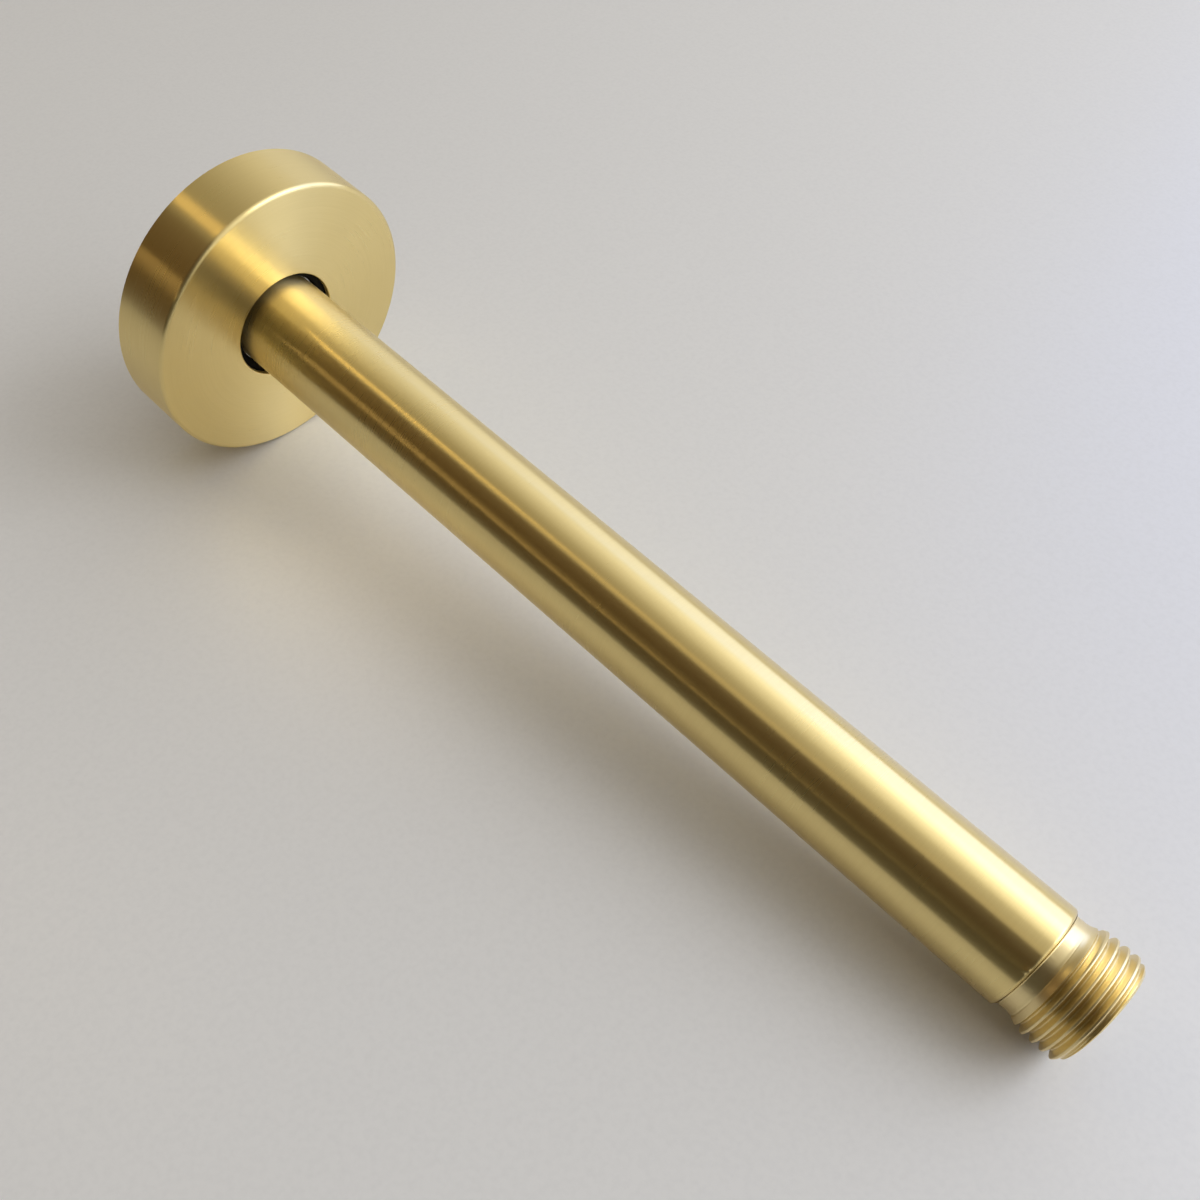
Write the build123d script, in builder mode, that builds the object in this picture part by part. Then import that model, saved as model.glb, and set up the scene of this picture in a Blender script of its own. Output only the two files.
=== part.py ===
"""Straight shower arm: a brass tube with a threaded nipple brazed into each end and a loose cover flange.

Millimetres. The arm lies along +X, from the wall to the shower head, with +Z up.
The origin is on the tube's axis, in the plane of the finished wall.
"""

import os

from build123d import *

# Tube: ARM_REACH is how far it stands out of the wall, WALL_REACH how far it goes in to meet the wall fitting
TUBE_DIAMETER = 20.0
TUBE_WALL = 1.5
ARM_REACH = 200.0
WALL_REACH = 3.0
TUBE_END_RADIUS = 0.6

# Nipple: spigot brazed inside the tube, neck, thread and waterway.
# A half-inch pipe thread is 20.955 mm across at most, and a cut one is a little under that.
THREAD_DIAMETER = 20.85
THREAD_LENGTH = 9.6
THREAD_RUN_IN = 2.5
THREAD_LEAD_CHAMFER = 1.1
NECK_LENGTH = 2.6
SHOULDER_SEAT = 0.7
SPIGOT_LENGTH = 12.0
SPIGOT_CHAMFER = 0.5
BRAZE_GAP = 0.05
WATERWAY_DIAMETER = 13.0
WATERWAY_CHAMFER = 0.4

# Rubber ring that grips the tube
RING_SECTION = 2.4
RING_CLEARANCE = 0.08

# Cover flange
FLANGE_DIAMETER = 61.5
FLANGE_DEPTH = 14.4
FLANGE_FACE = 3.0
FLANGE_RIM = 2.0
FLANGE_EDGE_RADIUS = 0.9
FLANGE_CORNER_RADIUS = 1.2
FLANGE_BACK_CHAMFER = 0.4
HOLE_GAP = 1.7
HOLE_EDGE_RADIUS = 0.3
GROOVE_FRONT_LIP = 1.2
GROOVE_BACK_LIP = 1.5
GROOVE_SIDE_PLAY = 0.6
COLLAR_WALL = 2.0

# Radii and places that follow from the sizes above
tube_radius = TUBE_DIAMETER / 2
tube_bore_radius = tube_radius - TUBE_WALL
tube_length = WALL_REACH + ARM_REACH
spigot_radius = tube_bore_radius - BRAZE_GAP
neck_radius = tube_bore_radius + SHOULDER_SEAT
thread_radius = THREAD_DIAMETER / 2
waterway_radius = WATERWAY_DIAMETER / 2
nipple_end = NECK_LENGTH + THREAD_LENGTH

flange_radius = FLANGE_DIAMETER / 2
hole_radius = tube_radius + HOLE_GAP
cavity_radius = flange_radius - FLANGE_RIM
cavity_depth = FLANGE_DEPTH - FLANGE_FACE
ring_inner_radius = tube_radius + RING_CLEARANCE
ring_centre_radius = ring_inner_radius + RING_SECTION / 2
groove_radius = ring_inner_radius + RING_SECTION + RING_CLEARANCE
groove_width = RING_SECTION + GROOVE_SIDE_PLAY
groove_start = FLANGE_DEPTH - GROOVE_FRONT_LIP - groove_width
ring_centre = groove_start + groove_width / 2
collar_radius = groove_radius + COLLAR_WALL
collar_start = groove_start - GROOVE_BACK_LIP
collar_depth = FLANGE_DEPTH - collar_start

os.makedirs("parts", exist_ok=True)

# Arm tube: plain drawn tube with its outer ends rounded over
with BuildPart() as arm_tube:
    with BuildSketch(Plane.YZ.offset(-WALL_REACH)):
        Circle(tube_radius)
        Circle(tube_bore_radius, mode=Mode.SUBTRACT)
    extrude(amount=tube_length)
    end_edges = arm_tube.edges().filter_by(GeomType.CIRCLE).group_by(SortBy.RADIUS)[-1]
    fillet(end_edges, TUBE_END_RADIUS)

arm_tube.part.label = "arm_tube"
export_step(arm_tube.part, "parts/arm_tube.step")

# Half section of the nipple, as (distance outward from the tube's end, radius)
nipple_section = [
    (-SPIGOT_LENGTH, waterway_radius),
    (-SPIGOT_LENGTH, spigot_radius - SPIGOT_CHAMFER),
    (-SPIGOT_LENGTH + SPIGOT_CHAMFER, spigot_radius),
    (0, spigot_radius),
    (0, neck_radius),
    (NECK_LENGTH, neck_radius),
    (NECK_LENGTH + THREAD_RUN_IN, thread_radius),
    (nipple_end - THREAD_LEAD_CHAMFER, thread_radius),
    (nipple_end, thread_radius - THREAD_LEAD_CHAMFER),
    (nipple_end, waterway_radius + WATERWAY_CHAMFER),
    (nipple_end - WATERWAY_CHAMFER, waterway_radius),
]

# One turned nipple form, seated on the tube's end at the shower head and, turned about, at the wall
nipple_seats = {
    "outlet_nipple": Plane(origin=(ARM_REACH, 0, 0), x_dir=(1, 0, 0), z_dir=(0, 0, 1)),
    "inlet_nipple": Plane(origin=(-WALL_REACH, 0, 0), x_dir=(-1, 0, 0), z_dir=(0, 0, 1)),
}
for nipple_name, seat in nipple_seats.items():
    with BuildPart() as nipple:
        with BuildSketch(seat):
            with BuildLine():
                Polyline(*nipple_section, close=True)
            make_face()
        revolve(axis=Axis.X)
    nipple.part.label = nipple_name
    export_step(nipple.part, f"parts/{nipple_name}.step")

# Cover flange: a turned cup, open to the wall, with a collar round its hole that carries the ring's groove
with BuildPart() as cover_flange:
    with BuildSketch(Plane.YZ):
        Circle(flange_radius)
    extrude(amount=FLANGE_DEPTH)
    outer_back_edge = cover_flange.edges().group_by(Axis.X)[0]
    chamfer(outer_back_edge, FLANGE_BACK_CHAMFER)

    with BuildSketch(Plane.YZ):
        Circle(cavity_radius)
    extrude(amount=cavity_depth, mode=Mode.SUBTRACT)
    cavity_floor_edge = cover_flange.faces().filter_by(Axis.X).sort_by(Axis.X)[1].edges()
    fillet(cavity_floor_edge, FLANGE_CORNER_RADIUS)

    with BuildSketch(Plane.YZ.offset(collar_start)):
        Circle(collar_radius)
    extrude(amount=collar_depth)
    with BuildSketch(Plane.YZ):
        Circle(hole_radius)
    extrude(amount=FLANGE_DEPTH, mode=Mode.SUBTRACT)
    with BuildSketch(Plane.YZ.offset(groove_start)):
        Circle(groove_radius)
    extrude(amount=groove_width, mode=Mode.SUBTRACT)

    front_edges = cover_flange.faces().sort_by(Axis.X)[-1].edges().sort_by(SortBy.RADIUS)
    fillet(front_edges[-1], FLANGE_EDGE_RADIUS)
    front_edges = cover_flange.faces().sort_by(Axis.X)[-1].edges().sort_by(SortBy.RADIUS)
    fillet(front_edges[0], HOLE_EDGE_RADIUS)

cover_flange.part.label = "cover_flange"
export_step(cover_flange.part, "parts/cover_flange.step")

# Rubber ring in the flange's groove, close round the tube
with BuildPart() as flange_o_ring:
    with BuildSketch(Plane.XY):
        with Locations((ring_centre, ring_centre_radius)):
            Circle(RING_SECTION / 2)
    revolve(axis=Axis.X)

flange_o_ring.part.label = "flange_o_ring"
export_step(flange_o_ring.part, "parts/flange_o_ring.step")
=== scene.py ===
"""Dressed model of a straight brass shower arm with a loose cover flange.

Metres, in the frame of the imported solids: +X runs along the arm from the wall to the shower
head and +Z is up. Every piece is turned about the X axis, so its mesh is a half-section spun
round that axis, and a pipe thread is one pitch of its section screwed along it.
"""

import logging
import math
from collections.abc import Callable, Iterable, Sequence
from dataclasses import dataclass
from enum import Enum
from typing import ClassVar

import bmesh
import bpy
from mathutils import Matrix, Vector


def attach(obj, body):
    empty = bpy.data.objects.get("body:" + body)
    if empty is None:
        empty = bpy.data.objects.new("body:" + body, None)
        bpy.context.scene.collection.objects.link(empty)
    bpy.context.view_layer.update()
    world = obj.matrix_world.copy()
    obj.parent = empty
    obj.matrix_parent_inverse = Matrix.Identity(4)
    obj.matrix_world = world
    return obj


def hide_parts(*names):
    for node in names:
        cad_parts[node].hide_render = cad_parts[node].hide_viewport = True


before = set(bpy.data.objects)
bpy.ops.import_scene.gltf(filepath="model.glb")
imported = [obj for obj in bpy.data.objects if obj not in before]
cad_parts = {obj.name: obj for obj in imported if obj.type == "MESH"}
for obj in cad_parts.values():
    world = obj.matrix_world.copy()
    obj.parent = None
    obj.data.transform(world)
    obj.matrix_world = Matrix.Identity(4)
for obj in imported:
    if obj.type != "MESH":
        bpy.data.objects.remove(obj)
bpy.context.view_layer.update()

Colour = tuple[float, float, float]

log = logging.getLogger("shower_arm")

MM = 0.001
AXIS = Vector((1.0, 0.0, 0.0))
# The map that each turned surface is unrolled on; the brush marks follow it.
UNROLLED = "OFBake"


class Body(Enum):
    """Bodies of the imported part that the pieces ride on."""

    ARM = "arm"
    SEAL = "seal"
    FLANGE = "flange"


class Slot(Enum):
    """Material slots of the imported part."""

    BRUSHED = "brushed_brass"
    TURNED = "turned_brass"
    RUBBER = "black_rubber"


class ArmEnd(Enum):
    """The two ends of the arm, each with a threaded nipple."""

    OUTLET = "outlet"
    INLET = "inlet"


class LitSurfaces(Enum):
    """Surfaces that a light falls on."""

    ALL = "matt and glossy surfaces"
    GLOSS = "gloss alone"
    MATT = "matt surfaces alone"


class NodeGraph:
    """Adds nodes to a node tree, sets their inputs and links them."""

    # Numbers of the mix node's sockets for a share and two colours, since names there aren't unique.
    MIX_SHARE = 0
    MIX_FIRST = 6
    MIX_SECOND = 7
    MIX_RESULT = 2

    def __init__(self, tree: bpy.types.NodeTree) -> None:
        """Takes over a tree and empties it."""
        tree.nodes.clear()
        self.tree = tree

    def add(self, kind: str, inputs: dict[str | int, object] | None = None,
            **settings: object) -> bpy.types.Node:
        """Adds one node.

        Args:
            kind: Type name of the node.
            inputs: A value or an output socket for each input, by name or number.
            **settings: Properties of the node itself.

        Returns:
            The new node.
        """
        node = self.tree.nodes.new(kind)
        for name, value in settings.items():
            setattr(node, name, value)
        for key, value in (inputs or {}).items():
            if isinstance(value, bpy.types.NodeSocket):
                self.tree.links.new(value, node.inputs[key])
            else:
                node.inputs[key].default_value = value
        return node

    def math(self, operation: str, *values: object) -> bpy.types.NodeSocket:
        """Adds a math node and returns its result."""
        return self.add("ShaderNodeMath", dict(enumerate(values)), operation=operation).outputs[0]

    def remap(self, value: bpy.types.NodeSocket, source: tuple[float, float],
              target: tuple[float, float]) -> bpy.types.NodeSocket:
        """Maps a value from one range to another, clamped.

        Args:
            value: The socket to map.
            source: Range of the value.
            target: Range of the result.

        Returns:
            The mapped value.
        """
        inputs = {"Value": value, "From Min": source[0], "From Max": source[1],
                  "To Min": target[0], "To Max": target[1]}
        return self.add("ShaderNodeMapRange", inputs).outputs["Result"]

    def mix(self, share: object, first: object, second: object) -> bpy.types.NodeSocket:
        """Mixes two colours.

        Args:
            share: Share of the second colour, from 0 to 1.
            first: Colour or socket at share 0.
            second: Colour or socket at share 1.

        Returns:
            The mixed colour.
        """
        sockets = {self.MIX_SHARE: share}
        for number, colour in ((self.MIX_FIRST, first), (self.MIX_SECOND, second)):
            sockets[number] = (*colour, 1.0) if isinstance(colour, tuple) else colour
        return self.add("ShaderNodeMix", sockets, data_type="RGBA").outputs[self.MIX_RESULT]


def start_material(name: str) -> tuple[bpy.types.Material, NodeGraph, bpy.types.NodeSocket]:
    """Starts a material with an empty node tree.

    Args:
        name: Name of the material.

    Returns:
        The material, its graph and its object coordinates.
    """
    material = bpy.data.materials.new(name)
    material.use_nodes = True
    graph = NodeGraph(material.node_tree)
    return material, graph, graph.add("ShaderNodeTexCoord").outputs["Object"]


class TurningMarks:
    """Shader group for the marks that a lathe or a brush leaves round the X axis."""

    NAME = "turning_marks"
    LINE_DETAIL = 3.0
    LINE_ROUGHNESS = 0.6
    LINE_SPAN = (0.28, 0.72)
    DRIFT_SCALE = 55.0
    DRIFT_DETAIL = 2.0
    DRIFT_SPAN = (0.3, 0.7)

    def group(self) -> bpy.types.NodeTree:
        """Makes the group at its first use.

        Returns:
            A group that takes object coordinates, the number of lines to the millimetre and the
            number of breaks round the axis. It gives the marks, from 0 in a scratch to 1 on a
            ridge, and a slow drift of the tone.
        """
        if self.NAME in bpy.data.node_groups:
            return bpy.data.node_groups[self.NAME]
        tree = bpy.data.node_groups.new(self.NAME, "ShaderNodeTree")
        graph = NodeGraph(tree)
        tree.interface.new_socket("Object", in_out="INPUT", socket_type="NodeSocketVector")
        for name in ("Lines", "Breaks"):
            tree.interface.new_socket(name, in_out="INPUT", socket_type="NodeSocketFloat")
        for name in ("Marks", "Drift"):
            tree.interface.new_socket(name, in_out="OUTPUT", socket_type="NodeSocketFloat")

        given = graph.add("NodeGroupInput").outputs
        part = graph.add("ShaderNodeSeparateXYZ", {0: given["Object"]}).outputs
        across = graph.add("ShaderNodeCombineXYZ", {"Y": part["Y"], "Z": part["Z"]}).outputs[0]
        radius = graph.add("ShaderNodeVectorMath", {0: across}, operation="LENGTH").outputs["Value"]
        run = graph.math("SUBTRACT", part["X"], radius)
        per_metre = graph.math("DIVIDE", given["Lines"], MM)
        breaks = graph.math("DIVIDE", given["Breaks"], radius)
        wrapped = graph.add("ShaderNodeCombineXYZ", {
            "X": graph.math("MULTIPLY", run, per_metre),
            "Y": graph.math("MULTIPLY", part["Y"], breaks),
            "Z": graph.math("MULTIPLY", part["Z"], breaks),
        }).outputs[0]
        lines = graph.add("ShaderNodeTexNoise", {
            "Vector": wrapped, "Scale": 1.0,
            "Detail": self.LINE_DETAIL, "Roughness": self.LINE_ROUGHNESS})
        drift = graph.add("ShaderNodeTexNoise", {
            "Vector": given["Object"], "Scale": self.DRIFT_SCALE, "Detail": self.DRIFT_DETAIL})
        graph.add("NodeGroupOutput", {
            "Marks": graph.remap(lines.outputs[0], self.LINE_SPAN, (0.0, 1.0)),
            "Drift": graph.remap(drift.outputs[0], self.DRIFT_SPAN, (0.0, 1.0)),
        })
        return tree


@dataclass(frozen=True)
class BrassFinish:
    """Brass that was worked round the X axis.

    Attributes:
        name: Name of the material.
        slot: Slot that it dresses; not used.
        ridge: Colour of the bright ridges.
        scratch: Colour in the scratches.
        roughness: Least and most roughness.
        anisotropy: How far the marks draw a highlight out across themselves.
        lines: Marks to the millimetre.
        breaks: How often the marks break off round the axis.
        relief: Height of the marks, in metres.
        DRIFT_SHARE: Share that the slow drift has in the tone; the marks have the rest.
    """

    DRIFT_SHARE: ClassVar[float] = 0.35

    name: str
    slot: Slot
    ridge: Colour
    scratch: Colour
    roughness: tuple[float, float]
    anisotropy: float
    lines: float
    breaks: float
    relief: float

    def material(self) -> bpy.types.Material:
        """Makes the material.

        Returns:
            A material that follows the unrolled map of the piece.
        """
        material, graph, place = start_material(self.name)
        marks = graph.add("ShaderNodeGroup", node_tree=TurningMarks().group())
        graph.tree.links.new(place, marks.inputs["Object"])
        marks.inputs["Lines"].default_value = self.lines
        marks.inputs["Breaks"].default_value = self.breaks
        line, drift = marks.outputs["Marks"], marks.outputs["Drift"]

        worn = graph.math("MULTIPLY_ADD", drift, self.DRIFT_SHARE,
                          graph.math("MULTIPLY", line, 1.0 - self.DRIFT_SHARE))
        bump = graph.add("ShaderNodeBump", {
            "Strength": 1.0, "Distance": self.relief, "Height": line})
        brush = graph.add("ShaderNodeTangent", direction_type="UV_MAP", uv_map=UNROLLED)
        surface = graph.add("ShaderNodeBsdfPrincipled", {
            "Base Color": graph.mix(worn, self.scratch, self.ridge),
            "Metallic": 1.0,
            "Roughness": graph.remap(worn, (0.0, 1.0), (self.roughness[1], self.roughness[0])),
            "Anisotropic": self.anisotropy,
            "Normal": bump.outputs[0],
            "Tangent": brush.outputs[0],
        })
        graph.add("ShaderNodeOutputMaterial", {"Surface": surface.outputs[0]})
        return material


@dataclass(frozen=True)
class RubberFinish:
    """Black moulded rubber with a faint dust on it.

    Attributes:
        name: Name of the material.
        slot: Slot that it dresses; not used.
        black: Colour of the clean rubber.
        dusty: Colour under dust.
        roughness: Roughness where it is clean and where it is dusty.
        ior: Index of refraction, low so that the ring stays dark in its gap.
        grain_scale: Scale of the fine moulded grain.
        grain_detail: Finer layers of the grain.
        grain_relief: Height of the grain, in metres.
        grain_strength: How much of that height shows.
        dust_scale: Scale of the patches of dust.
        dust_detail: Finer layers of the dust.
        dust_span: Noise between which rubber goes over into dust.
    """

    name: str = "black_moulded_rubber"
    slot: Slot = Slot.RUBBER
    black: Colour = (0.005, 0.0048, 0.0045)
    dusty: Colour = (0.013, 0.012, 0.0105)
    roughness: tuple[float, float] = (0.75, 0.9)
    ior: float = 1.2
    grain_scale: float = 2600.0
    grain_detail: float = 3.0
    grain_relief: float = 0.02 * MM
    grain_strength: float = 0.4
    dust_scale: float = 420.0
    dust_detail: float = 4.0
    dust_span: tuple[float, float] = (0.45, 0.75)

    def material(self) -> bpy.types.Material:
        """Makes the material.

        Returns:
            A material in object coordinates.
        """
        material, graph, place = start_material(self.name)
        grain = graph.add("ShaderNodeTexNoise", {
            "Vector": place, "Scale": self.grain_scale, "Detail": self.grain_detail})
        dust = graph.add("ShaderNodeTexNoise", {
            "Vector": place, "Scale": self.dust_scale, "Detail": self.dust_detail})
        share = graph.remap(dust.outputs[0], self.dust_span, (0.0, 1.0))
        bump = graph.add("ShaderNodeBump", {
            "Strength": self.grain_strength, "Distance": self.grain_relief, "Height": grain.outputs[0]})
        surface = graph.add("ShaderNodeBsdfPrincipled", {
            "Base Color": graph.mix(share, self.black, self.dusty),
            "Roughness": graph.remap(share, (0.0, 1.0), self.roughness),
            "IOR": self.ior,
            "Normal": bump.outputs[0],
        })
        graph.add("ShaderNodeOutputMaterial", {"Surface": surface.outputs[0]})
        return material


@dataclass(frozen=True)
class FloorFinish:
    """Pale, matt sheet that the arm lies on.

    Attributes:
        name: Name of the material.
        pale: Colour of most of the sheet.
        fleck: Colour of its faint flecks.
        fleck_most: Largest share of the fleck's colour.
        fleck_span: Noise between which the flecks come up.
        grain_scale: Scale of the sheet's grain.
        grain_detail: Finer layers of the grain.
        grain_span: Noise between which the roughness goes from least to most.
        roughness: Least and most roughness.
        gloss: Level of the sheet's gloss.
    """

    name: str = "pale_matt_sheet"
    pale: Colour = (0.825, 0.835, 0.86)
    fleck: Colour = (0.765, 0.775, 0.80)
    fleck_most: float = 0.5
    fleck_span: tuple[float, float] = (0.4, 0.75)
    grain_scale: float = 900.0
    grain_detail: float = 4.0
    grain_span: tuple[float, float] = (0.3, 0.7)
    roughness: tuple[float, float] = (0.34, 0.42)
    gloss: float = 0.8

    def material(self) -> bpy.types.Material:
        """Makes the material.

        Returns:
            A material in object coordinates.
        """
        material, graph, place = start_material(self.name)
        grain = graph.add("ShaderNodeTexNoise", {
            "Vector": place, "Scale": self.grain_scale, "Detail": self.grain_detail})
        share = graph.remap(grain.outputs[0], self.fleck_span, (0.0, self.fleck_most))
        surface = graph.add("ShaderNodeBsdfPrincipled", {
            "Base Color": graph.mix(share, self.pale, self.fleck),
            "Roughness": graph.remap(grain.outputs[0], self.grain_span, self.roughness),
            "Specular IOR Level": self.gloss,
        })
        graph.add("ShaderNodeOutputMaterial", {"Surface": surface.outputs[0]})
        return material


@dataclass(frozen=True)
class CardFinish:
    """Dark card with painted shade: its brown, darker toward the shower head and greyer there near the
    floor, stands in for the dim side of the room that the brass reflects.

    Attributes:
        name: Name of the material.
        wall_end: Colour toward the wall.
        head_end: Colour toward the shower head.
        foot: Colour near the floor at that end.
        along: Places along the arm between which the first goes over into the second.
        rise: Heights between which the rest goes over into the foot, from above.
        roughness: Roughness of the card.
    """

    name: str = "dark_card_painted_shade"
    wall_end: Colour = (0.15, 0.086, 0.024)
    head_end: Colour = (0.045, 0.028, 0.01)
    foot: Colour = (0.072, 0.065, 0.044)
    along: tuple[float, float] = (-1.2, 0.2)
    rise: tuple[float, float] = (1.6, 0.7)
    roughness: float = 0.9

    def material(self) -> bpy.types.Material:
        """Makes the material.

        Returns:
            A material in object coordinates.
        """
        material, graph, place = start_material(self.name)
        part = graph.add("ShaderNodeSeparateXYZ", {0: place}).outputs
        # Painted shade: brown along the arm and grey-green low down, the tones of the dim room seen in the
        # brass.
        toward_head = graph.remap(part["X"], self.along, (0.0, 1.0))
        low = graph.math("MULTIPLY", toward_head, graph.remap(part["Z"], self.rise, (0.0, 1.0)))
        brown = graph.mix(toward_head, self.wall_end, self.head_end)
        surface = graph.add("ShaderNodeBsdfPrincipled", {
            "Base Color": graph.mix(low, brown, self.foot),
            "Roughness": self.roughness,
        })
        graph.add("ShaderNodeOutputMaterial", {"Surface": surface.outputs[0]})
        return material


BRUSHED = BrassFinish(
    "brass_brushed_round", Slot.BRUSHED, ridge=(0.85, 0.68, 0.302), scratch=(0.80, 0.635, 0.275),
    roughness=(0.265, 0.305), anisotropy=1.0, lines=4.5, breaks=1.2, relief=0.00014 * MM)
TURNED = BrassFinish(
    "brass_satin_turned", Slot.TURNED, ridge=(0.84, 0.69, 0.36), scratch=(0.82, 0.665, 0.34),
    roughness=(0.30, 0.34), anisotropy=0.0, lines=4.0, breaks=0.6, relief=0.00003 * MM)
RAW_TURNED = BrassFinish(
    "brass_raw_turned", Slot.BRUSHED, ridge=(0.74, 0.55, 0.25), scratch=(0.60, 0.43, 0.19),
    roughness=(0.34, 0.5), anisotropy=0.6, lines=3.5, breaks=0.8, relief=0.004 * MM)
RAW_BORED = BrassFinish(
    "brass_raw_bored", Slot.TURNED, ridge=(0.70, 0.52, 0.24), scratch=(0.55, 0.40, 0.18),
    roughness=(0.36, 0.5), anisotropy=0.4, lines=3.0, breaks=0.8, relief=0.004 * MM)


@dataclass(frozen=True)
class Corner:
    """One corner of a half-section.

    Attributes:
        along: Place along the X axis, in metres.
        radius: Distance from the X axis, in metres.
        rounding: How far the corner is rounded over along both sides; 0 leaves it sharp.
    """

    along: float
    radius: float
    rounding: float = 0.0


class TurnedForm:
    """A mesh that is turned about the X axis.

    Each vertex keeps its run, which is its distance along the section, so that the surface
    can be unrolled: u goes along the section and v round the axis.
    """

    STEPS = 256
    ROUNDING_STEPS = 10
    ROUND_PROFILE = 0.5
    HALF_ROUND = 0.5
    LONGEST_SPAN = 4.0 * MM
    WELD = 1e-7
    # Slack for telling which faces lie within a radius.
    SLACK = 0.01 * MM

    def __init__(self) -> None:
        """Starts with an empty mesh."""
        self.bm = bmesh.new()
        self.run = self.bm.verts.layers.float.new("run")
        self.length = 0.0

    def wire(self, corners: Sequence[Corner], closed: bool) -> None:
        """Draws a section as wire in the half-plane above the axis and rounds its corners.

        Args:
            corners: The corners in order.
            closed: Whether an edge joins the last corner to the first.
        """
        verts = [self.bm.verts.new((c.along, 0.0, c.radius)) for c in corners]
        for start, end in zip(verts, verts[1:]):
            self.bm.edges.new((start, end))
        if closed:
            self.bm.edges.new((verts[-1], verts[0]))
        for corner in corners:
            if corner.rounding:
                place = Vector((corner.along, 0.0, corner.radius))
                tip = min(self.bm.verts, key=lambda vert: (vert.co - place).length)
                bmesh.ops.bevel(self.bm, geom=[tip], offset=corner.rounding, offset_type="OFFSET",
                                segments=self.ROUNDING_STEPS, profile=self.ROUND_PROFILE,
                                affect="VERTICES", material=-1)

    def turn(self) -> None:
        """Spins the closed wire into a skin; the run starts on the side next to the axis."""
        for edge in self.bm.edges[:]:
            cuts = int(edge.calc_length() / self.LONGEST_SPAN)
            if cuts:
                bmesh.ops.subdivide_edges(self.bm, edges=[edge], cuts=cuts)
        start = min(self.bm.verts, key=lambda vert: vert.co.z)
        vert, edge = start, start.link_edges[0]
        while True:
            vert[self.run] = self.length
            self.length += edge.calc_length()
            vert = edge.other_vert(vert)
            if vert == start:
                break
            edge = next(other for other in vert.link_edges if other != edge)
        bmesh.ops.spin(self.bm, geom=self.bm.verts[:] + self.bm.edges[:], cent=(0.0, 0.0, 0.0),
                       axis=AXIS, angle=math.tau, steps=self.STEPS, use_merge=True)
        self.close()

    def close(self) -> None:
        """Welds the seams and turns every face outward."""
        bmesh.ops.remove_doubles(self.bm, verts=self.bm.verts, dist=self.WELD)
        bmesh.ops.recalc_face_normals(self.bm, faces=self.bm.faces)

    def unroll(self) -> None:
        """Lays the surface out flat on its map."""
        layer = self.bm.loops.layers.uv.new(UNROLLED)
        for face in self.bm.faces:
            runs = [loop.vert[self.run] / self.length for loop in face.loops]
            turns = [math.atan2(loop.vert.co.y, loop.vert.co.z) / math.tau % 1.0
                     for loop in face.loops]
            for loop, *uv in zip(face.loops, self.past_seam(runs), self.past_seam(turns)):
                loop[layer].uv = uv

    @classmethod
    def past_seam(cls, shares: list[float]) -> list[float]:
        """Raises the shares of a face that has crossed the seam by one whole round."""
        seam = max(shares) - cls.HALF_ROUND
        return [share + 1.0 if share < seam else share for share in shares]

    def paint(self, number: int, wanted: Callable[[float, float], bool]) -> None:
        """Gives some faces another material.

        Args:
            number: Number of the material on the piece.
            wanted: Tells, from a place along the axis and a radius, whether a face takes it.
        """
        for face in self.bm.faces:
            middle = face.calc_center_median()
            face.material_index = number if wanted(middle.x, math.hypot(middle.y, middle.z)) else 0

    def piece(self, name: str, materials: Iterable[bpy.types.Material],
              crease_deg: float) -> bpy.types.Object:
        """Makes the piece from the mesh.

        Args:
            name: Name of the piece.
            materials: Its materials in the order of their numbers.
            crease_deg: Angle from which an edge stays sharp.

        Returns:
            The new object, at the origin.
        """
        self.unroll()
        mesh = bpy.data.meshes.new(name)
        self.bm.to_mesh(mesh)
        self.bm.free()
        for material in materials:
            mesh.materials.append(material)
        mesh.shade_smooth()
        mesh.set_sharp_from_angle(angle=math.radians(crease_deg))
        piece = bpy.data.objects.new(name, mesh)
        bpy.context.scene.collection.objects.link(piece)
        shading = piece.modifiers.new("even_shading", "WEIGHTED_NORMAL")
        shading.keep_sharp = True
        return piece


@dataclass(frozen=True)
class ArmTube:
    """Straight drawn tube with its ends rounded over, brushed round.

    Attributes:
        radius: Outer radius.
        bore: Inner radius.
        wall_end: Place of the end in the wall.
        free_end: Place of the end at the shower head.
        end_rounding: Rounding of the outer edge of both ends.
        nick_turn_deg: Angle of the small nick in the free end's edge, from +Y toward +Z.
        nick_size: Breadth of the nick.
        nick_height: How far its burr stands out.
        nick_rings: Extra rings beside the edge that carry the nick's shape.
        crease_deg: Angle from which an edge stays sharp.
    """

    radius: float = 10.0 * MM
    bore: float = 8.5 * MM
    wall_end: float = -3.0 * MM
    free_end: float = 200.0 * MM
    end_rounding: float = 0.6 * MM
    nick_turn_deg: float = 135.0
    nick_size: float = 0.5 * MM
    nick_height: float = 0.2 * MM
    nick_rings: int = 6
    crease_deg: float = 40.0

    def build(self) -> bpy.types.Object:
        """Builds and dresses the tube.

        Returns:
            The tube.
        """
        form = TurnedForm()
        form.wire([
            Corner(self.wall_end, self.bore),
            Corner(self.wall_end, self.radius, self.end_rounding),
            *(Corner(self.free_end - self.end_rounding - self.nick_size * ring / 2, self.radius)
              for ring in range(self.nick_rings, 0, -1)),
            Corner(self.free_end, self.radius, self.end_rounding),
            Corner(self.free_end, self.bore),
        ], closed=True)
        form.turn()
        self.nick(form)
        middle = (self.radius + self.bore) / 2
        form.paint(1, lambda along, radius: radius < middle)
        tube = form.piece("brushed_tube", [BRUSHED.material(), RAW_TURNED.material()], self.crease_deg)
        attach(tube, Body.ARM.value)
        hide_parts("arm_tube")
        return tube

    def nick(self, form: TurnedForm) -> None:
        """Raises the burr of a small nick on the free end's edge.

        Args:
            form: The turned tube.
        """
        turn = math.radians(self.nick_turn_deg)
        out = Vector((0.0, math.cos(turn), math.sin(turn)))
        centre = Vector((self.free_end - self.end_rounding, 0.0, 0.0)) + out * self.radius
        for vert in form.bm.verts:
            share = math.exp(-((vert.co - centre).length / self.nick_size) ** 2)
            vert.co += out * self.nick_height * share


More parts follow.
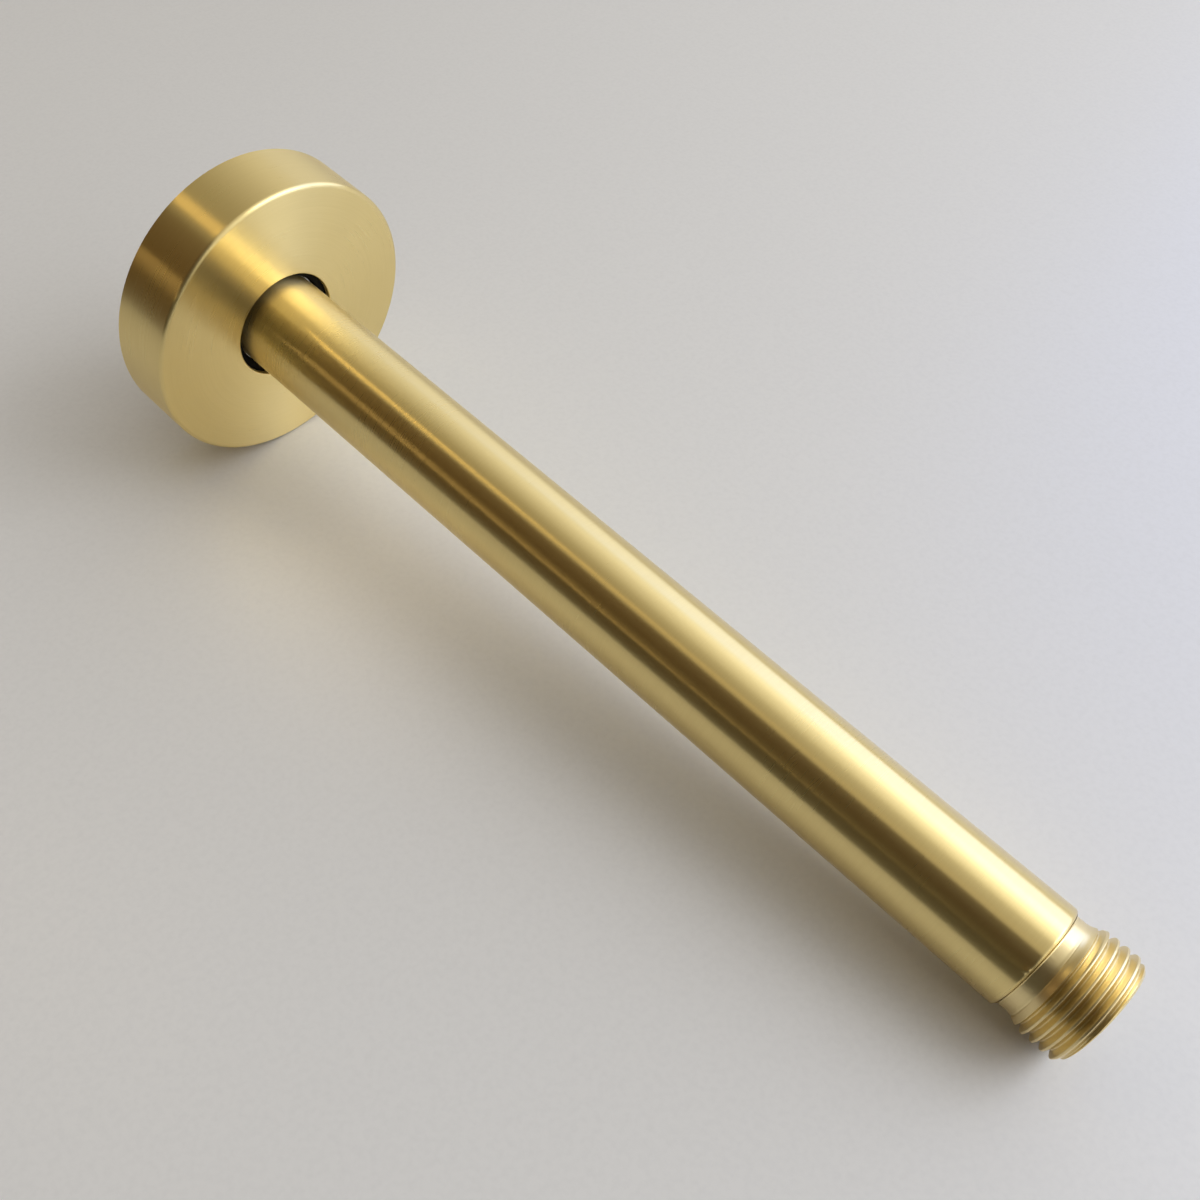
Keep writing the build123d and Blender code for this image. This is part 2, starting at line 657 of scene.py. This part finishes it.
@dataclass(frozen=True)
class ThreadedNipple:
    """Turned nipple with a half-inch pipe thread, brazed into an end of the tube.

    Places along it are measured outward from the tube's end.

    Attributes:
        end: The end of the arm that it sits in.
        seat: Place of that end of the tube along the X axis.
        bore: Radius of the waterway.
        bore_chamfer: Chamfer at its mouth.
        spigot: Radius of the spigot inside the tube.
        spigot_depth: How far the spigot goes in.
        spigot_chamfer: Chamfer at its end.
        neck: Radius of the plain neck.
        neck_length: Length of the neck.
        crest: Radius over the thread, as it is cut.
        full_crest: Radius over a full thread of this size.
        pitch: Pitch of the thread.
        flank_deg: Angle between a flank and the plane across the axis.
        flank_cuts: Cuts across each half of a flank, so that its crest can be turned down smoothly.
        rounding: Radius of crest and root of the full thread.
        depth: Depth of the full thread.
        run_in: Length of the cone that leads from the neck up to the crest.
        run_in_ease: How far before and after its start the cone eases out of the neck.
        crest_ease: Height over which the crests round over where they are turned down.
        seam: Width of the fine open seam at the tube's end.
        seam_depth: Depth of the seam below the neck.
        fillet: Radius of the brazed fillet beside the seam.
        fillet_steps: Steps of the fillet.
        lead: Chamfer at the thread's start.
        length: Whole length outside the tube.
        first_crest: Place of a crest at the top of the thread.
        turns: Turns that are cut before the ends are trimmed.
        steps: Steps in a turn.
        crease_deg: Angle from which an edge stays sharp.
        TURN_WELD: How near the ends of two turns lie when they are welded.
        CUT_SNAP: How near a vertex lies to a cut when the cut goes through it.
    """

    TURN_WELD: ClassVar[float] = 0.002 * MM
    CUT_SNAP: ClassVar[float] = 0.001 * MM

    end: ArmEnd
    seat: float
    bore: float = 6.5 * MM
    bore_chamfer: float = 0.4 * MM
    spigot: float = 8.45 * MM
    spigot_depth: float = 12.0 * MM
    spigot_chamfer: float = 0.5 * MM
    neck: float = 9.2 * MM
    neck_length: float = 2.6 * MM
    crest: float = 10.425 * MM
    full_crest: float = 10.4775 * MM
    pitch: float = 1.8143 * MM
    flank_deg: float = 27.5
    flank_cuts: int = 4
    rounding: float = 0.249 * MM
    depth: float = 1.162 * MM
    run_in: float = 2.5 * MM
    run_in_ease: float = 0.7 * MM
    crest_ease: float = 0.11 * MM
    seam: float = 0.09 * MM
    seam_depth: float = 0.08 * MM
    fillet: float = 0.32 * MM
    fillet_steps: int = 6
    lead: float = 1.1 * MM
    length: float = 12.2 * MM
    first_crest: float = -0.334 * MM
    turns: int = 8
    steps: int = 144
    crease_deg: float = 44.0

    def build(self) -> bpy.types.Object:
        """Builds and dresses the nipple.

        Returns:
            The nipple in its end of the tube.
        """
        form = TurnedForm()
        self.cut_thread(form)
        inner, outer = self.trim(form)
        quarter = [math.pi / 2 * step / self.fillet_steps for step in range(self.fillet_steps + 1)]
        fillet = [(self.seam + self.fillet * (1.0 - math.sin(angle)),
                   self.neck + self.fillet * (1.0 - math.cos(angle))) for angle in quarter]
        for along, radius in (*fillet,
                              (self.seam, self.neck - self.seam_depth),
                              (0.0, self.neck - self.seam_depth),
                              (0.0, self.spigot),
                              (self.spigot_chamfer - self.spigot_depth, self.spigot),
                              (-self.spigot_depth, self.spigot - self.spigot_chamfer),
                              (-self.spigot_depth, self.bore)):
            inner = self.draw_on(form, inner, along, radius, -1.0)
        for along, radius in ((self.length, self.bore + self.bore_chamfer),
                              (self.length - self.bore_chamfer, self.bore)):
            outer = self.draw_on(form, outer, along, radius, 1.0)
        bmesh.ops.bridge_loops(form.bm, edges=inner + outer)
        form.close()
        start = min(vert[form.run] for vert in form.bm.verts)
        for vert in form.bm.verts:
            vert[form.run] -= start
        form.length = max(vert[form.run] for vert in form.bm.verts) + self.spigot_depth + self.length
        form.paint(1, lambda along, radius: radius < self.bore + form.SLACK)

        place = Matrix.Translation(AXIS * self.seat)
        if self.end is ArmEnd.INLET:
            place = place @ Matrix.Rotation(math.pi, 4, "Z")
        bmesh.ops.transform(form.bm, matrix=place, verts=form.bm.verts)
        nipple = form.piece(f"threaded_{self.end.value}", [TURNED.material(), RAW_BORED.material()],
                            self.crease_deg)
        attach(nipple, Body.ARM.value)
        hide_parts(f"{self.end.value}_nipple")
        return nipple

    def cut_thread(self, form: TurnedForm) -> None:
        """Screws one pitch of the thread's section through a turn and repeats the turn.

        Args:
            form: The empty mesh that takes the thread.
        """
        slope = math.tan(math.radians(self.flank_deg))
        middle = self.full_crest - self.depth / 2
        peak = self.pitch / 4 / slope
        rounding = self.rounding / slope
        form.wire([
            Corner(self.first_crest - self.pitch / 4, middle),
            Corner(self.first_crest, middle + peak, rounding),
            Corner(self.first_crest + self.pitch / 2, middle - peak, rounding),
            Corner(self.first_crest + self.pitch * 3 / 4, middle),
        ], closed=False)
        flanks = [edge for edge in form.bm.edges if edge.calc_length() > self.rounding / 2]
        bmesh.ops.subdivide_edges(form.bm, edges=flanks, cuts=self.flank_cuts)
        bmesh.ops.spin(form.bm, geom=form.bm.verts[:] + form.bm.edges[:], cent=(0.0, 0.0, 0.0),
                       axis=AXIS, dvec=AXIS * (self.pitch / self.steps),
                       angle=math.tau, steps=self.steps)
        turn = form.bm.verts[:] + form.bm.edges[:] + form.bm.faces[:]
        for number in range(1, self.turns):
            copy = bmesh.ops.duplicate(form.bm, geom=turn)["geom"]
            verts = [item for item in copy if isinstance(item, bmesh.types.BMVert)]
            bmesh.ops.translate(form.bm, verts=verts, vec=AXIS * (self.pitch * number))
        bmesh.ops.remove_doubles(form.bm, verts=form.bm.verts, dist=self.TURN_WELD)

    def trim(self, form: TurnedForm) -> tuple[list[bmesh.types.BMEdge], list[bmesh.types.BMEdge]]:
        """Faces the ends of the thread off and turns its outside down to the neck, cone and lead.

        Args:
            form: The mesh with the bare thread.

        Returns:
            The rims of edges at the neck and at the mouth.
        """
        for along, away in ((self.neck_length - self.run_in_ease, -1.0), (self.length, 1.0)):
            bmesh.ops.bisect_plane(form.bm, geom=form.bm.verts[:] + form.bm.edges[:] + form.bm.faces[:],
                                   dist=self.CUT_SNAP, plane_co=AXIS * along, plane_no=AXIS * away,
                                   clear_outer=True)
        for vert in form.bm.verts:
            radius = math.hypot(vert.co.y, vert.co.z)
            share = self.eased_least(radius, self.turned_down(vert.co.x)) / radius
            vert.co.y *= share
            vert.co.z *= share
            vert[form.run] = vert.co.x
        rims = [edge for edge in form.bm.edges if edge.is_boundary]
        middle = (self.neck_length + self.length) / 2
        return ([edge for edge in rims if edge.verts[0].co.x < middle],
                [edge for edge in rims if edge.verts[0].co.x > middle])

    def eased_least(self, first: float, second: float) -> float:
        """The smaller of two radii, rounded over where they meet."""
        overlap = max(0.0, self.crest_ease - abs(first - second)) / self.crest_ease
        return min(first, second) - overlap ** 2 * self.crest_ease / 4.0

    def turned_down(self, along: float) -> float:
        """Works out the radius that the outside is turned down to.

        Args:
            along: Place along the nipple.

        Returns:
            The radius there, on the neck, the cone, the crests or the lead.
        """
        climb, ease = along - self.neck_length, self.run_in_ease
        if abs(climb) < ease:
            climb = (climb + ease) ** 2 / (4.0 * ease)
        cone = self.neck + max(0.0, climb) * (self.crest - self.neck) / self.run_in
        chamfer = self.crest + self.length - self.lead - along
        return min(self.crest, chamfer, cone)

    @staticmethod
    def draw_on(form: TurnedForm, rim: list[bmesh.types.BMEdge], along: float, radius: float,
                way: float) -> list[bmesh.types.BMEdge]:
        """Extrudes a rim to a ring at another place.

        Args:
            form: The mesh that the rim belongs to.
            rim: Boundary edges to go on from.
            along: Place of the new ring along the axis.
            radius: Radius of the new ring.
            way: Whether the run grows (1) or falls (-1) in this direction.

        Returns:
            The edges of the new ring.
        """
        grown = bmesh.ops.extrude_edge_only(form.bm, edges=rim)["geom"]
        for vert in (item for item in grown if isinstance(item, bmesh.types.BMVert)):
            share = radius / math.hypot(vert.co.y, vert.co.z)
            place = Vector((along, vert.co.y * share, vert.co.z * share))
            vert[form.run] += way * (place - vert.co).length
            vert.co = place
        return [item for item in grown if isinstance(item, bmesh.types.BMEdge) and item.is_boundary]


@dataclass(frozen=True)
class CoverFlange:
    """Turned cup that covers the wall hole, with a grooved collar for the ring.

    Attributes:
        radius: Outer radius.
        depth: Depth from the wall to the front face.
        face: Thickness of the front face.
        rim: Thickness of the side wall.
        edge_rounding: Rounding of the front edge.
        corner_rounding: Rounding inside the cup.
        back_chamfer: Chamfer of the outer back edge.
        hole: Radius of the hole.
        hole_rounding: Rounding of the hole's front edge.
        groove: Radius of the ring's groove.
        groove_start: Where the groove starts.
        groove_width: Width of the groove.
        back_lip: Thickness of the lip behind the groove.
        collar: Outer radius of the collar.
        crease_deg: Angle from which an edge stays sharp.
    """

    radius: float = 30.75 * MM
    depth: float = 14.4 * MM
    face: float = 3.0 * MM
    rim: float = 2.0 * MM
    edge_rounding: float = 0.9 * MM
    corner_rounding: float = 1.2 * MM
    back_chamfer: float = 0.4 * MM
    hole: float = 11.7 * MM
    hole_rounding: float = 0.3 * MM
    groove: float = 12.56 * MM
    groove_start: float = 10.2 * MM
    groove_width: float = 3.0 * MM
    back_lip: float = 1.5 * MM
    collar: float = 14.56 * MM
    crease_deg: float = 40.0

    def build(self) -> bpy.types.Object:
        """Builds and dresses the flange.

        Returns:
            The flange.
        """
        form = TurnedForm()
        floor, collar_start = self.depth - self.face, self.groove_start - self.back_lip
        groove_end, cavity = self.groove_start + self.groove_width, self.radius - self.rim
        form.wire([
            Corner(groove_end, self.hole),
            Corner(self.depth, self.hole, self.hole_rounding),
            Corner(self.depth, self.radius, self.edge_rounding),
            Corner(self.back_chamfer, self.radius),
            Corner(0.0, self.radius - self.back_chamfer),
            Corner(0.0, cavity),
            Corner(floor, cavity, self.corner_rounding),
            Corner(floor, self.collar),
            Corner(collar_start, self.collar),
            Corner(collar_start, self.hole),
            Corner(self.groove_start, self.hole),
            Corner(self.groove_start, self.groove),
            Corner(groove_end, self.groove),
        ], closed=True)
        form.turn()
        form.paint(1, lambda along, radius: along < groove_end and radius < cavity + form.SLACK)
        flange = form.piece("brushed_flange", [BRUSHED.material(), RAW_TURNED.material()], self.crease_deg)
        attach(flange, Body.FLANGE.value)
        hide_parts("cover_flange")
        return flange


@dataclass(frozen=True)
class RubberRing:
    """Round rubber ring in the flange's groove.

    Attributes:
        along: Place of its centre along the axis.
        radius: Radius of its centre line.
        section: Radius of its section.
        section_steps: Steps round the section.
        crease_deg: Angle from which an edge stays sharp.
    """

    along: float = 11.7 * MM
    radius: float = 11.28 * MM
    section: float = 1.2 * MM
    section_steps: int = 40
    crease_deg: float = 60.0

    def build(self) -> bpy.types.Object:
        """Builds and dresses the ring.

        Returns:
            The ring.
        """
        form = TurnedForm()
        centre = Matrix.Translation((self.along, 0.0, self.radius))
        bmesh.ops.create_circle(form.bm, segments=self.section_steps, radius=self.section,
                                matrix=centre @ Matrix.Rotation(math.pi / 2, 4, "X"))
        form.turn()
        ring = form.piece("rubber_ring", [RubberFinish().material()], self.crease_deg)
        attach(ring, Body.SEAL.value)
        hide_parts("flange_o_ring")
        return ring


@dataclass(frozen=True)
class SoftLight:
    """Rectangular soft light that faces a point on the arm or the floor.

    Attributes:
        name: Name of the light.
        turn_deg: Direction that it stands in, from +X toward +Y on the floor.
        rise_deg: How high it stands over the floor's horizon.
        distance: How far away it is.
        width: Breadth along the floor.
        height: Height across it.
        radiance: Colour and strength of its surface.
        lit: Surfaces that it falls on.
        target: Point that it faces, in the floor's frame.
        POWER_SHARE: Power of a light of unit area and unit radiance.
    """

    POWER_SHARE: ClassVar[float] = 4.0

    name: str
    turn_deg: float
    rise_deg: float
    distance: float
    width: float
    height: float
    radiance: Colour
    lit: LitSurfaces = LitSurfaces.ALL
    target: tuple[float, float, float] = (0.1, 0.0, 0.02)

    def build(self, level: Matrix) -> None:
        """Hangs the light.

        Args:
            level: Frame of the floor.
        """
        turn, rise = math.radians(self.turn_deg), math.radians(self.rise_deg)
        away = Vector((math.cos(rise) * math.cos(turn), math.cos(rise) * math.sin(turn), math.sin(rise)))
        light = bpy.data.lights.new(self.name, "AREA")
        light.shape = "RECTANGLE"
        light.size, light.size_y = self.width, self.height
        strength = max(self.radiance)
        light.color = [part / strength for part in self.radiance]
        light.energy = self.POWER_SHARE * strength * self.width * self.height
        lamp = bpy.data.objects.new(self.name, light)
        facing = away.to_track_quat("Z", "Y").to_matrix().to_4x4()
        lamp.matrix_world = level @ Matrix.Translation(Vector(self.target) + away * self.distance) @ facing
        lamp.visible_camera = False
        lamp.visible_diffuse = self.lit is not LitSurfaces.GLOSS
        lamp.visible_glossy = self.lit is not LitSurfaces.MATT
        bpy.context.scene.collection.objects.link(lamp)


@dataclass(frozen=True)
class Studio:
    """Pale floor, dark card and soft light, level with the floor that the arm lies on.

    The arm lies on the lower edge of the flange and on the end of the outlet thread, so that the
    floor is tilted in the arm's frame.

    Attributes:
        front_touch: Place and radius of the flange's edge on the floor.
        end_touch: Place and radius of the thread's end on the floor.
        clearance: How far the floor stays below both.
        floor_side: Side of the floor.
        floor_middle: Middle of the floor along the arm.
        lights: The soft lights.
        card_place: Middle of the dark card's foot at the floor's edge, in the floor's frame.
        card_width: Breadth of the card.
        card_height: Height of the card.
        room_turn_deg: Side from which the room is brightest, from +X toward +Y.
        room_span: Cosines to that side over which the room goes from dim to bright.
        room_dim: Light of the room on the far side from there.
        room_bright: Light of the room on that side.
        horizon_share: Share of that light that is left at the horizon.
        horizon_span: Sines of the height over which the room goes from that share to the whole.
        zenith_share: Share of the light that is left overhead.
        zenith_span: Sines of the height over which the room goes down to that share.
    """

    front_touch: tuple[float, float] = (13.5 * MM, 30.75 * MM)
    end_touch: tuple[float, float] = (211.1 * MM, 10.425 * MM)
    clearance: float = 0.06 * MM
    floor_side: float = 3.0
    floor_middle: float = 0.1
    lights: tuple[SoftLight, ...] = (
        SoftLight("window", turn_deg=62.0, rise_deg=29.0, distance=0.8, width=1.15, height=0.56,
                  radiance=(0.15, 0.34, 1.1), lit=LitSurfaces.GLOSS),
        SoftLight("sky_light", turn_deg=40.0, rise_deg=39.0, distance=0.9, width=0.6, height=0.45,
                  radiance=(1.85, 1.87, 1.9)),
        SoftLight("warm_lamp", turn_deg=-163.0, rise_deg=55.0, distance=0.7, width=0.034, height=0.18,
                  radiance=(3.7, 2.65, 1.05)),
        SoftLight("warm_strip", turn_deg=-122.0, rise_deg=28.0, distance=0.34, width=0.25, height=0.012,
                  radiance=(1.2, 0.9, 0.5)),
        # Stands in for the light that the flange's face throws back onto the floor.
        SoftLight("flange_bounce", turn_deg=-90.0, rise_deg=60.0, distance=0.04, width=0.06, height=0.015,
                  radiance=(0.8, 0.66, 0.44), lit=LitSurfaces.MATT, target=(0.055, -0.008, 0.0)),
    )
    card_place: tuple[float, float] = (-0.3, -1.5)
    card_width: float = 8.8
    card_height: float = 3.95
    room_turn_deg: float = 45.0
    room_span: tuple[float, float] = (-0.2, 1.0)
    room_dim: Colour = (0.38, 0.325, 0.215)
    room_bright: Colour = (1.70, 1.73, 1.80)
    horizon_share: float = 0.55
    horizon_span: tuple[float, float] = (0.03, 0.2)
    zenith_share: float = 0.8
    zenith_span: tuple[float, float] = (0.45, 0.8)

    def tilt(self) -> float:
        """Works out the angle of the floor in the arm's frame, rising toward the shower head.

        Returns:
            The angle in radians.
        """
        (front, front_radius), (end, end_radius) = self.front_touch, self.end_touch
        return math.atan2(front_radius - end_radius, end - front)

    def level(self) -> Matrix:
        """Frame that lies level on the floor, below the origin's side of the arm.

        Returns:
            The matrix from that frame to the arm's frame.
        """
        drop = self.front_touch[1] + self.front_touch[0] * math.tan(self.tilt())
        floor = Matrix.Translation((0.0, 0.0, -drop - self.clearance))
        return floor @ Matrix.Rotation(-self.tilt(), 4, "Y")

    def build(self) -> None:
        """Lays the floor, stands the card and lights both."""
        self.lay_floor()
        self.stand_card()
        self.light_room()
        for light in self.lights:
            light.build(self.level())

    def plane(self, name: str, width: float, height: float, place: Matrix,
              material: bpy.types.Material) -> bpy.types.Object:
        """Makes one flat piece of the stage.

        Args:
            name: Name of the piece.
            width: Size along its own X.
            height: Size along its own Y.
            place: Where its centre goes and how it is turned.
            material: What it is made of.

        Returns:
            The new object.
        """
        bm = bmesh.new()
        # A grid of half size 0.5 is a unit square, which the matrix draws out to the wanted size.
        bmesh.ops.create_grid(bm, x_segments=1, y_segments=1, size=0.5,
                              matrix=place @ Matrix.Diagonal((width, height, 1.0, 1.0)))
        mesh = bpy.data.meshes.new(name)
        bm.to_mesh(mesh)
        bm.free()
        mesh.materials.append(material)
        piece = bpy.data.objects.new(name, mesh)
        bpy.context.scene.collection.objects.link(piece)
        return piece

    def lay_floor(self) -> None:
        """Lays the floor under both touching edges."""
        place = self.level() @ Matrix.Translation((self.floor_middle, 0.0, 0.0))
        self.plane("floor", self.floor_side, self.floor_side, place, FloorFinish().material())

    def stand_card(self) -> None:
        """Stands a dark card at the floor's edge, which gives the brass its dark side."""
        place = (self.level() @ Matrix.Translation((*self.card_place, self.card_height / 2))
                 @ Matrix.Rotation(math.pi / 2, 4, "X"))
        card = self.plane("dark_card", self.card_width, self.card_height, place, CardFinish().material())
        card.visible_camera = False

    def light_room(self) -> None:
        """Lights the room, with more light from the window's side."""
        world = bpy.data.worlds.new("room")
        world.use_nodes = True
        graph = NodeGraph(world.node_tree)
        turn, level = math.radians(self.room_turn_deg), self.level().to_3x3()
        view = graph.add("ShaderNodeTexCoord").outputs["Generated"]
        toward, rise = (
            graph.add("ShaderNodeVectorMath", {0: view, 1: level @ Vector(side)},
                      operation="DOT_PRODUCT").outputs["Value"]
            for side in ((math.cos(turn), math.sin(turn), 0.0), (0.0, 0.0, 1.0)))
        share = graph.remap(toward, self.room_span, (0.0, 1.0))
        strength = graph.math("MULTIPLY",
                              graph.remap(rise, self.horizon_span, (self.horizon_share, 1.0)),
                              graph.remap(rise, self.zenith_span, (1.0, self.zenith_share)))
        sky = graph.add("ShaderNodeBackground", {
            "Color": graph.mix(share, self.room_dim, self.room_bright),
            "Strength": strength,
        })
        graph.add("ShaderNodeOutputWorld", {"Surface": sky.outputs[0]})
        bpy.context.scene.world = world


@dataclass(frozen=True)
class PhotoCamera:
    """The photo's camera.

    Attributes:
        place: Where it stands in the arm's frame.
        heading_deg: How far it is turned from looking along +Y, in the floor's frame.
        elevation_deg: How steeply it looks down on the floor.
        focal_px: Focal length in pixels of the photo.
        optical_centre_px: Where its axis meets the photo, from the upper left corner.
        photo_px: Side of the photo.
        sensor_mm: Width of the sensor.
        nearest: Nearest distance that it sees.
    """

    place: tuple[float, float, float] = (176.58 * MM, -109.07 * MM, 174.6 * MM)
    heading_deg: float = 45.44
    elevation_deg: float = 54.1
    focal_px: float = 1179.0
    optical_centre_px: tuple[float, float] = (515.9, 675.1)
    photo_px: float = 1200.0
    sensor_mm: float = 36.0
    nearest: float = 1.0 * MM

    def build(self, level: Matrix) -> None:
        """Sets the camera up.

        Args:
            level: Frame of the floor.
        """
        camera = bpy.data.cameras.new("photo_camera")
        camera.sensor_width = self.sensor_mm
        camera.lens = self.sensor_mm * self.focal_px / self.photo_px
        camera.shift_x = 0.5 - self.optical_centre_px[0] / self.photo_px
        camera.shift_y = self.optical_centre_px[1] / self.photo_px - 0.5
        camera.clip_start = self.nearest
        aim = (level.to_3x3() @ Matrix.Rotation(math.radians(self.heading_deg), 3, "Z")
               @ Matrix.Rotation(math.radians(90.0 - self.elevation_deg), 3, "X"))
        holder = bpy.data.objects.new("photo_camera", camera)
        holder.matrix_world = Matrix.Translation(self.place) @ aim.to_4x4()
        bpy.context.scene.collection.objects.link(holder)
        bpy.context.scene.camera = holder


def main() -> None:
    """Builds every piece and the studio, and reports each piece."""
    logging.basicConfig(level=logging.INFO, format="%(message)s")
    bpy.context.scene.view_settings.view_transform = "Standard"
    tube = ArmTube()
    pieces = [
        tube.build(),
        ThreadedNipple(ArmEnd.OUTLET, tube.free_end).build(),
        ThreadedNipple(ArmEnd.INLET, tube.wall_end).build(),
        CoverFlange().build(),
        RubberRing().build(),
    ]
    for piece in pieces:
        log.info("%s: %d faces, %s mm", piece.name, len(piece.data.polygons),
                 " x ".join(f"{side / MM:.1f}" for side in piece.dimensions))
    studio = Studio()
    studio.build()
    PhotoCamera().build(studio.level())


if __name__ == "__main__":
    main()
